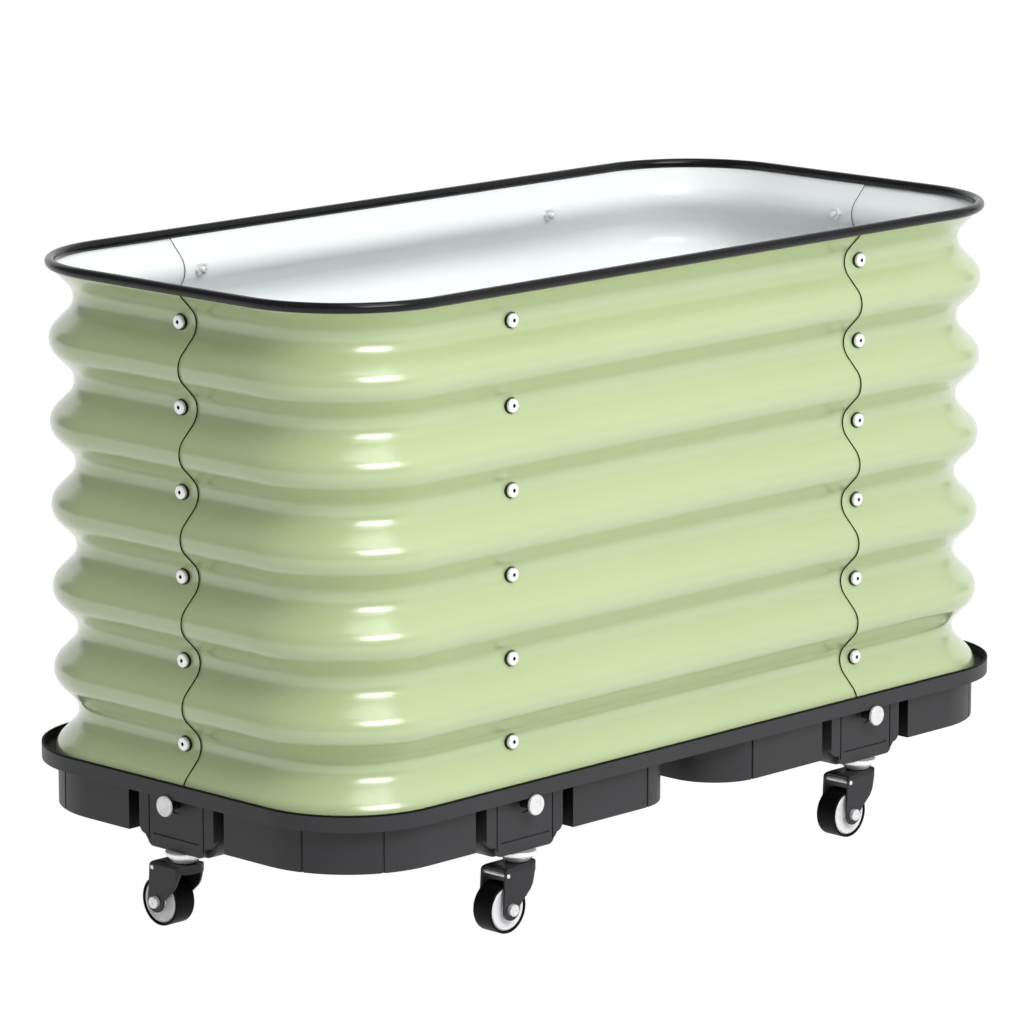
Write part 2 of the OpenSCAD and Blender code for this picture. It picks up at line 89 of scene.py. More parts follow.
class Piece:
    """One mesh under work, shaped with Blender's own tools."""

    def __init__(self, obj: bpy.types.Object, name: str) -> None:
        """Takes over an object.

        Args:
            obj: The object.
            name: New name of the object and its mesh.
        """
        self.obj = obj
        self.pen = Vector()
        obj.name = name
        obj.data.name = name

    @staticmethod
    def clear() -> None:
        """Leaves edit mode and deselects every object."""
        if bpy.context.object and bpy.context.object.mode != "OBJECT":
            bpy.ops.object.mode_set(mode="OBJECT")
        bpy.ops.object.select_all(action="DESELECT")

    @classmethod
    def dot(cls, name: str, place: Point) -> "Piece":
        """Starts a drawing with one point, and stays in edit mode.

        Args:
            name: Name of the piece.
            place: Where the point lies.

        Returns:
            The piece, ready for line, trace and arc.
        """
        cls.clear()
        bpy.ops.mesh.primitive_plane_add(size=0.001)
        piece = cls(bpy.context.object, name)
        piece.edit(Pick.POINTS)
        bpy.ops.mesh.merge(type="CENTER")
        bpy.ops.transform.translate(value=place)
        piece.pen = Vector(place)
        return piece

    @classmethod
    def cylinder(cls, name: str, radius: float, height: float, sides: int) -> "Piece":
        """Adds an upright cylinder that stands on the origin's plane.

        Args:
            name: Name of the piece.
            radius: Radius to its corners.
            height: Its height.
            sides: Number of its side faces.

        Returns:
            The cylinder.
        """
        cls.clear()
        bpy.ops.mesh.primitive_cylinder_add(
            vertices=sides, radius=radius, depth=height, location=(0, 0, height / 2)
        )
        piece = cls(bpy.context.object, name)
        piece.bake()
        return piece

    @classmethod
    def cad_copy(cls, name: str, node: str) -> "Piece":
        """Copies a CAD node's mesh and makes whole faces of its loose triangles.

        Args:
            name: Name of the copy.
            node: The CAD node.

        Returns:
            The merged copy, with no parent.
        """
        obj = bpy.data.objects.new(name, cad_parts[node].data.copy())
        bpy.context.scene.collection.objects.link(obj)
        obj.data.materials.clear()
        piece = cls(obj, name)
        piece.edit(Pick.POINTS)
        bpy.ops.mesh.remove_doubles(threshold=MERGE)
        bpy.ops.mesh.dissolve_limited(angle_limit=math.radians(0.2))
        piece.done()
        return piece

    def alone(self) -> None:
        """Makes this the only selected object and the active one."""
        self.clear()
        self.obj.select_set(True)
        bpy.context.view_layer.objects.active = self.obj

    def bake(self) -> None:
        """Takes the object's place, turn and scale into its mesh."""
        bpy.ops.object.transform_apply(location=True, rotation=True, scale=True)

    def remove(self) -> None:
        """Deletes the piece."""
        bpy.data.objects.remove(self.obj)

    # Steps in edit mode

    def edit(self, pick: Pick) -> None:
        """Enters edit mode with everything selected."""
        self.alone()
        bpy.ops.object.mode_set(mode="EDIT")
        self.take_all(pick)

    def take_all(self, pick: Pick) -> None:
        """Selects everything in edit mode."""
        bpy.ops.mesh.select_mode(type=pick.value)
        bpy.ops.mesh.select_all(action="SELECT")

    def done(self) -> None:
        """Goes back to object mode."""
        bpy.ops.object.mode_set(mode="OBJECT")

    def choose(self, test: Test) -> None:
        """Enters edit mode with some faces selected.

        Args:
            test: What the middles of those faces pass.
        """
        self.edit(Pick.FACES)
        bpy.ops.mesh.select_all(action="DESELECT")
        self.done()
        for face in self.obj.data.polygons:
            face.select = test(face.center)
        bpy.ops.object.mode_set(mode="EDIT")

    def line(self, move: Point) -> None:
        """Draws a straight edge from the last point."""
        bpy.ops.mesh.extrude_vertices_move(TRANSFORM_OT_translate={"value": move})
        self.pen += Vector(move)

    def trace(self, *spots: Spot) -> None:
        """Draws straight edges through places, each given by its X and Z."""
        for x, z in spots:
            self.line((x - self.pen.x, 0, z - self.pen.z))

    def arc(self, centre: Point, axis: Point, turn: float, steps: int) -> None:
        """Draws an arc from the last point, or sweeps the selected edges round one.

        Args:
            centre: A point on the axis.
            axis: Direction of the axis; the turn is counter-clockwise about it.
            turn: Angle in radians.
            steps: Number of pieces of the arc.
        """
        bpy.ops.mesh.spin(steps=steps, angle=-turn, center=centre, axis=axis)
        reach = self.pen - Vector(centre)
        self.pen = Vector(centre) + Matrix.Rotation(turn, 3, Vector(axis)) @ reach

    def sweep(self, move: Point) -> None:
        """Sweeps the selected edges along a straight line."""
        bpy.ops.mesh.extrude_edges_move(TRANSFORM_OT_translate={"value": move})

    def close(self) -> None:
        """Merges doubles, points the normals of a closed shell outward, and leaves edit mode."""
        bpy.ops.mesh.select_all(action="SELECT")
        bpy.ops.mesh.remove_doubles(threshold=MERGE)
        bpy.ops.mesh.normals_make_consistent(inside=False)
        self.done()

    def spin_round(self, steps: int) -> None:
        """Spins the drawn outline once about the vertical through the origin, and closes it."""
        self.take_all(Pick.EDGES)
        bpy.ops.mesh.spin(steps=steps, angle=2 * math.pi, center=ORIGIN, axis=UP)
        self.close()

    # Steps on the whole piece

    def modify(self, kind: str, **settings: object) -> None:
        """Adds a modifier and applies it.

        Args:
            kind: The modifier's type.
            settings: Its properties.
        """
        self.alone()
        modifier = self.obj.modifiers.new(kind.title(), kind)
        for key, value in settings.items():
            setattr(modifier, key, value)
        bpy.ops.object.modifier_apply(modifier=modifier.name)

    def soften(self, width: float, segments: int = 2, angle: float = 40.0) -> None:
        """Rounds the sharp edges.

        Args:
            width: Width of the rounding.
            segments: Number of faces across it.
            angle: Edges sharper than this, in degrees, are rounded.
        """
        self.modify(
            "BEVEL", width=width, segments=segments, limit_method="ANGLE",
            angle_limit=math.radians(angle), miter_outer="MITER_ARC", use_clamp_overlap=True,
        )

    def cut(self, tool: "Piece", keep: Keep = Keep.OUTSIDE) -> None:
        """Cuts the piece with another one, and removes that one.

        Args:
            tool: The cutting piece.
            keep: The part of this piece that stays.
        """
        self.modify("BOOLEAN", operation=keep.value, object=tool.obj, solver="EXACT")
        tool.remove()

    def mirror_up(self) -> None:
        """Mirrors a half in the origin's plane, merges the two and closes them."""
        self.modify("MIRROR", use_axis=(False, False, True), use_clip=True)
        self.edit(Pick.FACES)
        self.close()

    def join(self, *others: "Piece") -> None:
        """Takes other pieces into this one."""
        self.alone()
        for other in others:
            other.obj.select_set(True)
        bpy.ops.object.join()

    def copy(self, name: str) -> "Piece":
        """A copy with its own mesh."""
        self.alone()
        bpy.ops.object.duplicate(linked=False)
        return Piece(bpy.context.object, name)

    def stamp(self, place: Matrix) -> "Piece":
        """A copy whose mesh is carried to a place."""
        copy = self.copy(self.obj.name)
        copy.obj.data.transform(place)
        return copy

    def put(self, place: Point, turn: float = 0.0) -> None:
        """Turns the piece about the vertical through the origin, and moves it.

        Args:
            place: How far it moves.
            turn: Angle in radians.
        """
        self.alone()
        self.obj.rotation_euler = (0, 0, turn)
        self.obj.location = place
        self.bake()

    def lay(self) -> None:
        """Turns the piece about the X axis, from standing along +Z to lying along -Y."""
        self.alone()
        self.obj.rotation_euler = (QUARTER, 0, 0)
        self.bake()

    def smooth(self, angle: float = 35.0) -> None:
        """Shades smooth, except across edges sharper than an angle, with flats kept flat.

        Args:
            angle: The angle in degrees.
        """
        self.alone()
        bpy.ops.object.shade_smooth_by_angle(angle=math.radians(angle))
        self.modify("WEIGHTED_NORMAL", keep_sharp=True)

    def paint(self, *materials: Material) -> None:
        """Puts materials in the piece's slots."""
        self.obj.data.materials.clear()
        for material in materials:
            self.obj.data.materials.append(material)

    def dress(self, slot: int, test: Test) -> None:
        """Gives some faces the material of a slot.

        Args:
            slot: Number of the slot.
            test: What the middles of those faces pass.
        """
        self.choose(test)
        self.obj.active_material_index = slot
        bpy.ops.object.material_slot_assign()
        self.done()

    def finish(self, slot: str, *nodes: str, body: str = "planter") -> None:
        """Hangs the piece on its body's empty and hides the CAD nodes that it stands for.

        Args:
            slot: Name of a material slot; it is not used.
            nodes: CAD nodes that it stands for.
            body: CAD body that it rides on.
        """
        self.clear()
        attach(self.obj, body)
        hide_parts(*nodes)
        LOG.info("%s: %d faces on %s", self.obj.name, len(self.obj.data.polygons), body)


# Materials


class Wire:
    """A shader socket that takes part in sums, so that a mask is written as an expression."""

    def __init__(self, graph: "Graph", socket: bpy.types.NodeSocket) -> None:
        """Wraps a socket of a graph."""
        self.graph = graph
        self.socket = socket

    def _math(self, operation: str, *values: "Wire | float") -> "Wire":
        """Adds a Math node on the values."""
        settings = {"operation": operation}
        return self.graph.node("ShaderNodeMath", *values, settings=settings)["Value"]

    def __add__(self, other: "Wire | float") -> "Wire":
        """Sum."""
        return self._math("ADD", self, other)

    def __radd__(self, other: float) -> "Wire":
        """Sum with the number first."""
        return self._math("ADD", other, self)

    def __mul__(self, other: "Wire | float") -> "Wire":
        """Product."""
        return self._math("MULTIPLY", self, other)

    def __rmul__(self, other: float) -> "Wire":
        """Product with the number first."""
        return self._math("MULTIPLY", other, self)

    def fade(self, low: float, high: float) -> "Wire":
        """Rises smoothly from 0 at one value to 1 at another."""
        settings = {"interpolation_type": "SMOOTHSTEP"}
        return self.graph.node("ShaderNodeMapRange", self, low, high, settings=settings)["Result"]


class Graph:
    """A node tree whose nodes are added and linked by one method."""

    def __init__(self, tree: bpy.types.NodeTree) -> None:
        """Takes over a tree."""
        self.tree = tree

    def node(
        self, kind: str, *ordered: object, settings: dict[str, str] | None = None, **named: object
    ) -> dict[str, Wire]:
        """Adds a node.

        Args:
            kind: The node's type.
            ordered: Numbers, colours or wires for its first sockets.
            settings: Its properties, set before its sockets.
            named: The same for sockets by name, with _ in place of a space.

        Returns:
            Its outputs by name.
        """
        node = self.tree.nodes.new(kind)
        for key, value in (settings or {}).items():
            setattr(node, key, value)
        for socket, value in zip((s for s in node.inputs if s.enabled), ordered):
            self.plug(socket, value)
        for key, value in named.items():
            self.plug(node.inputs[key.replace("_", " ")], value)
        return {out.name: Wire(self, out) for out in node.outputs if out.enabled}

    def plug(self, socket: bpy.types.NodeSocket, value: object) -> None:
        """Links a socket, or sets it.

        Args:
            socket: The socket.
            value: A wire to link, or a number or colour to set.
        """
        if isinstance(value, Wire):
            self.tree.links.new(value.socket, socket)
        elif isinstance(value, tuple) and socket.type == "RGBA":
            socket.default_value = (*value, 1.0)
        else:
            socket.default_value = value


class Shader(Graph):
    """One material's node tree, around its Principled BSDF."""

    def __init__(self, name: str) -> None:
        """Starts a material.

        Args:
            name: Its name.
        """
        self.material = bpy.data.materials.new(name)
        self.material.use_nodes = True
        super().__init__(self.material.node_tree)
        self.surface = self.tree.nodes["Principled BSDF"]
        self.places = self.node("ShaderNodeTexCoord")["Object"]

    def noise(self, scale: float, detail: float = 3.0) -> Wire:
        """Soft noise from 0 to 1 on the piece's own coordinates.

        Args:
            scale: Lumps per metre.
            detail: Number of finer layers.

        Returns:
            The noise.
        """
        return self.node(
            "ShaderNodeTexNoise", Vector=self.places, Scale=scale, Detail=detail, Roughness=0.55
        )["Fac"]

    def mix(self, mask: Wire, low: Colour, high: Colour) -> Wire:
        """Blends two colours by a mask."""
        return self.node("ShaderNodeMix", mask, low, high, settings={"data_type": "RGBA"})["Result"]

    def bump(self, height: Wire, depth: float) -> None:
        """Raises the surface by a height pattern times a depth in metres."""
        self.set(Normal=self.node("ShaderNodeBump", Height=height, Distance=depth)["Normal"])

    def set(self, **values: object) -> None:
        """Sets or links sockets of the surface."""
        for key, value in values.items():
            self.plug(self.surface.inputs[key.replace("_", " ")], value)


def linear(red: int, green: int, blue: int) -> Colour:
    """Turns a screen colour into the linear one that shaders use.

    Args:
        red: Red from 0 to 255.
        green: Green from 0 to 255.
        blue: Blue from 0 to 255.

    Returns:
        The colour from 0 to 1.
    """
    shares = [c / 255 for c in (red, green, blue)]
    return tuple(c / 12.92 if c <= 0.04045 else ((c + 0.055) / 1.055) ** 2.4 for c in shares)


@dataclass(frozen=True)
class SheetPaint:
    """Baked paint on sheet steel: glossy, with a faint orange peel and slight unevenness."""

    name: str
    colour: Colour
    shade: Colour
    roughness: float = 0.25
    specular: float = 0.8
    coat: float = 0.85
    coat_roughness: float = 0.19
    coat_ior: float = 1.6
    drift_scale: float = 3.5
    peel_scale: float = 90.0
    peel_depth: float = 0.000002

    def make(self) -> Material:
        """Builds the material.

        Returns:
            The material.
        """
        shader = Shader(self.name)
        drift = shader.noise(self.drift_scale, 2.0)
        shader.set(
            Base_Color=shader.mix(drift.fade(0.3, 0.75), self.colour, self.shade),
            Roughness=self.roughness + 0.03 * drift,
            Specular_IOR_Level=self.specular,
            Coat_Weight=self.coat,
            Coat_Roughness=self.coat_roughness,
            Coat_IOR=self.coat_ior,
        )
        shader.bump(shader.noise(self.peel_scale, 0.0), self.peel_depth)
        return shader.material


@dataclass(frozen=True)
class CutEdgeShade:
    """Cut edges of the sheet, painted near black as the shade in the gaps they face; the same
    painted shade darkens the seam strips and the tray's lip line and channel.
    """

    name: str = "cut_edge"
    colour: Colour = (0.002, 0.002, 0.002)
    shade: Colour = (0.006, 0.006, 0.005)
    roughness: float = 0.6
    specular: float = 0.1
    grain: float = 300.0

    def make(self) -> Material:
        """Builds the material.

        Returns:
            The material.
        """
        shader = Shader(self.name)
        shader.set(
            Base_Color=shader.mix(shader.noise(self.grain), self.colour, self.shade),
            Roughness=self.roughness,
            Specular_IOR_Level=self.specular,
        )
        return shader.material


@dataclass(frozen=True)
class Moulding:
    """Moulded plastic or rubber with a fine grain and faint flow marks."""

    name: str
    colour: Colour
    shade: Colour
    roughness: float
    grain: float = 1400.0
    depth: float = 0.00003
    specular: float = 0.5
    flow_scale: float = 9.0

    def make(self) -> Material:
        """Builds the material.

        Returns:
            The material.
        """
        shader = Shader(self.name)
        grain = shader.noise(self.grain, 2.0)
        flow = shader.noise(self.flow_scale)
        shader.set(
            Base_Color=shader.mix(flow.fade(0.3, 0.7), self.colour, self.shade),
            Roughness=self.roughness + 0.08 * grain,
            Specular_IOR_Level=self.specular,
        )
        shader.bump(grain, self.depth)
        return shader.material


@dataclass(frozen=True)
class Metal:
    """Plated or brushed metal with a fine grain and a few dull spots."""

    name: str
    colour: Colour
    shade: Colour
    roughness: float
    metallic: float
    spot_scale: float = 260.0
    spot_depth: float = 0.000004
    grain: float = 900.0

    def make(self) -> Material:
        """Builds the material.

        Returns:
            The material.
        """
        shader = Shader(self.name)
        spots = shader.noise(self.spot_scale, 4.0)
        shader.set(
            Base_Color=shader.mix(spots.fade(0.45, 0.75), self.colour, self.shade),
            Roughness=self.roughness + 0.12 * shader.noise(self.grain, 2.0),
            Metallic=self.metallic,
        )
        shader.bump(spots, self.spot_depth)
        return shader.material


class Paintbox:
    """All finishes of the planter, each made once."""

    def __init__(self) -> None:
        """Makes the materials."""
        self.green = SheetPaint("green_paint", linear(191, 207, 156), linear(187, 203, 151)).make()
        self.white = SheetPaint(
            "white_paint", linear(249, 253, 253), linear(246, 251, 252), roughness=0.32,
            specular=0.5, coat=0.25,
        ).make()
        # Near-black painted shade: the sheet's cut edges, the shadow strips beside the seams, and
        # the shadow line at the tray's lip and channel.
        self.edge = CutEdgeShade().make()
        self.edging = Moulding(
            "edging_rubber", (0.003, 0.003, 0.004), (0.005, 0.005, 0.006), roughness=0.18,
            grain=700.0, depth=0.00001, specular=0.3,
        ).make()
        self.tray = Moulding(
            "tray_plastic", linear(50, 50, 53), linear(46, 46, 49), roughness=0.42, specular=0.4
        ).make()
        self.bright = Metal(
            "bright_bolt", linear(253, 253, 253), linear(248, 249, 249), roughness=0.26,
            metallic=0.6,
        ).make()
        self.washer = Moulding(
            "washer_rubber", (0.01, 0.01, 0.011), (0.016, 0.016, 0.016), roughness=0.6,
            specular=0.2,
        ).make()
        self.zinc = Metal(
            "zinc_plate", linear(238, 239, 240), linear(216, 217, 220), roughness=0.28,
            metallic=0.6,
        ).make()
        # Black plastic of the plugs, also used as painted shade in the tray's niches and the bolts'
        # sockets.
        self.black = Moulding(
            "black_plastic", (0.004, 0.004, 0.004), (0.007, 0.007, 0.007), roughness=0.4,
            specular=0.25,
        ).make()
        self.cap = Metal(
            "cap_face", linear(238, 239, 239), linear(220, 221, 223), roughness=0.3, metallic=0.35
        ).make()
        self.fork = Moulding(
            "fork_paint", linear(38, 37, 41), linear(33, 32, 36), roughness=0.38, grain=900.0,
            specular=0.4,
        ).make()
        self.hub = Moulding(
            "hub_plastic", linear(250, 250, 252), linear(242, 242, 245), roughness=0.3,
            depth=0.00001,
        ).make()
        self.tyre = Moulding(
            "tyre_rubber", (0.003, 0.003, 0.003), (0.005, 0.005, 0.005), roughness=0.4,
            depth=0.00001, specular=0.08,
        ).make()


# Wall


@dataclass
class Corrugation:
    """Section of the wall: arcs of one radius joined by straight flanks."""

    pitch: float = 0.075
    waves: int = 6
    depth: float = 0.022
    slope: float = math.radians(45)
    sheet: float = 0.0008
    foot: float = 0.1295
    top_drop: float = 0.0035
    arc_steps: int = 6

    @property
    def radius(self) -> float:
        """Radius of the bends at the middle of the sheet."""
        rise = self.pitch / 2 * math.sin(self.slope) - self.depth * math.cos(self.slope)
        return rise / (2 * (1 - math.cos(self.slope)))

    @property
    def top(self) -> float:
        """Height of the last crest."""
        return self.foot + self.pitch * self.waves

    def draw(self, piece: Piece, crest: float, place: float) -> None:
        """Draws the section on the left side, from the foot up.

        Args:
            piece: Piece whose only point is the foot of the sheet's middle.
            crest: The middle of the sheet at its crests, from the origin outward along -X.
            place: The Y of the section.
        """
        flank = (self.pitch / 2 - 2 * self.radius * math.sin(self.slope)) / math.cos(self.slope)
        inward = flank * math.sin(self.slope)
        rise = flank * math.cos(self.slope)
        outer = self.radius - crest
        inner = self.depth - self.radius - crest
        for k in range(self.waves):
            level = self.foot + k * self.pitch
            if k:
                piece.arc((outer, place, level), BACK, 2 * self.slope, 2 * self.arc_steps)
            else:
                piece.arc((outer, place, level), BACK, self.slope, self.arc_steps)
            piece.line((inward, 0, rise))
            valley = (inner, place, level + self.pitch / 2)
            piece.arc(valley, FRONT, 2 * self.slope, 2 * self.arc_steps)
            piece.line((-inward, 0, rise))
        piece.arc((outer, place, self.top), BACK, self.slope, self.arc_steps)


@dataclass
class Wall:
    """Four corrugated sheets, each bent round one corner and lapped over the next."""

    half_length: float = 0.4525
    half_width: float = 0.2195
    corner: float = 0.112
    lap_end: float = 0.018
    lap_set: float = 0.0014
    seam_shadow: float = 0.0007
    bolts_x: float = 0.229
    corner_steps: int = 24
    wave: Corrugation = field(default_factory=Corrugation)

    def sheet(
        self, name: str, long_run: float, lift: float, at_back: bool, finishes: Paintbox
    ) -> Piece:
        """Bends one sheet round a left corner.

        Args:
            name: Name of the piece.
            long_run: Length of its flat run along the long side.
            lift: Outward set of the sheet.
            at_back: Whether it is mirrored, from the front left corner to the back left one.
            finishes: The finishes, green outside and white inside, near black on the cut edges and
                as painted shadow in a strip beside each end.

        Returns:
            The sheet with its thickness.
        """
        wave = self.wave
        crest = self.half_length + lift - wave.sheet / 2
        centre = (self.corner - self.half_length, self.corner - self.half_width, 0)
        piece = Piece.dot(name, (-crest, self.lap_end, wave.foot))
        wave.draw(piece, crest, self.lap_end)
        piece.take_all(Pick.EDGES)
        piece.sweep((0, -self.seam_shadow, 0))
        piece.sweep((0, centre[1] - self.lap_end + self.seam_shadow, 0))
        piece.arc(centre, UP, QUARTER, self.corner_steps)
        piece.sweep((long_run - self.seam_shadow, 0, 0))
        piece.sweep((self.seam_shadow, 0, 0))
        piece.take_all(Pick.EDGES)
        bpy.ops.mesh.remove_doubles(threshold=MERGE)
        bpy.ops.mesh.bisect(
            plane_co=(0, 0, wave.top - wave.top_drop), plane_no=UP, clear_outer=True
        )
        piece.done()
        # The sheet's back takes the slot after a face's own, and its cut edge the one after that
        piece.paint(
            finishes.green, finishes.white, finishes.edge, finishes.white, finishes.edge
        )
        end_x = centre[0] + long_run - self.seam_shadow
        # A strip of the outer face at each end is painted near black: painted shadow of the lap
        # gap, widening the seam line.
        piece.dress(2, lambda p: p.y > self.lap_end - self.seam_shadow or p.x > end_x)
        if at_back:
            piece.obj.scale = (1, -1, 1)
            piece.bake()
            centre = (centre[0], -centre[1], 0)
        self._face_outward(piece, Vector(centre))
        piece.modify(
            "SOLIDIFY", thickness=wave.sheet, offset=0.0, use_even_offset=True,
            material_offset=1, material_offset_rim=2,
        )
        return piece

    def _face_outward(self, piece: Piece, middle: Vector) -> None:
        """Turns the normals of a sheet outward, before it has its thickness.

        Args:
            piece: The sheet.
            middle: The middle of its round corner.
        """
        face = max(piece.obj.data.polygons, key=lambda f: (f.center - middle).xy.length)
        if face.normal.dot(face.center - middle) < 0:
            piece.edit(Pick.FACES)
            bpy.ops.mesh.flip_normals()
            piece.done()

    def build(self, finishes: Paintbox) -> None:
        """Builds two sheets, and copies each to the other side by half a turn.

        Args:
            finishes: The finishes.
        """
        flat = self.half_length - self.corner
        long_run = flat + self.bolts_x + self.lap_end
        short_run = flat - self.bolts_x + self.lap_end
        front = self.sheet("front_sheet", long_run, 0.0, False, finishes)
        left = self.sheet("left_corner_sheet", short_run, self.lap_set, True, finishes)
        for piece in (front, left):
            piece.smooth(30)
        back = front.copy("back_sheet")
        right = left.copy("right_corner_sheet")
        for piece in (back, right):
            piece.put(ORIGIN, math.pi)
        front.finish("wall_paint", "front_panel")
        back.finish("wall_paint", "back_panel")
        right.finish("wall_paint", "right_corner_panel")
        left.finish("wall_paint", "left_corner_panel")


@dataclass
class RimEdging:
    """Black round edging pushed over the wall's top, with a slot for the sheet."""

    inset: float = 0.0008
    drop: float = 0.0058
    # Corners of the slot in X and Z, from the wall's side and top, between the bead's two ends
    slot: tuple[Spot, ...] = (
        (-0.00355, -0.00966), (-0.00118, -0.00345), (0.00112, -0.00345), (-0.00172, -0.01046),
    )
    bead_steps: int = 26
    corner_steps: int = 24

    def build(self, wall: Wall, finishes: Paintbox) -> None:
        """Sweeps the bead round the wall.

        Args:
            wall: The wall that it sits on.
            finishes: The finishes.
        """
        top = wall.wave.top
        edge = wall.half_length
        corners = [(edge + x, top + z) for x, z in self.slot]
        begin, end = (
            math.atan2(z + self.drop, x + self.inset) for x, z in (self.slot[-1], self.slot[0])
        )
        piece = Piece.dot("rim_edging", (corners[-1][0], 0, corners[-1][1]))
        middle = (edge - self.inset, 0, top - self.drop)
        piece.arc(middle, FRONT, end + 2 * math.pi - begin, self.bead_steps)
        # The arc ends just beside the slot's first corner: the slot goes on from there, and one
        # more edge closes the outline
        shift_x, shift_z = piece.pen.x - corners[0][0], piece.pen.z - corners[0][1]
        piece.trace(*((x + shift_x, z + shift_z) for x, z in corners[1:]), corners[-1])
        piece.take_all(Pick.EDGES)
        bpy.ops.mesh.remove_doubles(threshold=MERGE)
        bpy.ops.mesh.select_all(action="SELECT")
        flat_x = wall.half_length - wall.corner
        flat_y = wall.half_width - wall.corner
        piece.sweep((0, flat_y, 0))
        for centre, move in (
            ((flat_x, flat_y, 0), (-2 * flat_x, 0, 0)),
            ((-flat_x, flat_y, 0), (0, -2 * flat_y, 0)),
            ((-flat_x, -flat_y, 0), (2 * flat_x, 0, 0)),
            ((flat_x, -flat_y, 0), (0, flat_y, 0)),
        ):
            piece.arc(centre, UP, QUARTER, self.corner_steps)
            piece.sweep(move)
        piece.close()
        piece.paint(finishes.edging)
        piece.smooth(40)
        piece.finish("edging", "rim_trim")


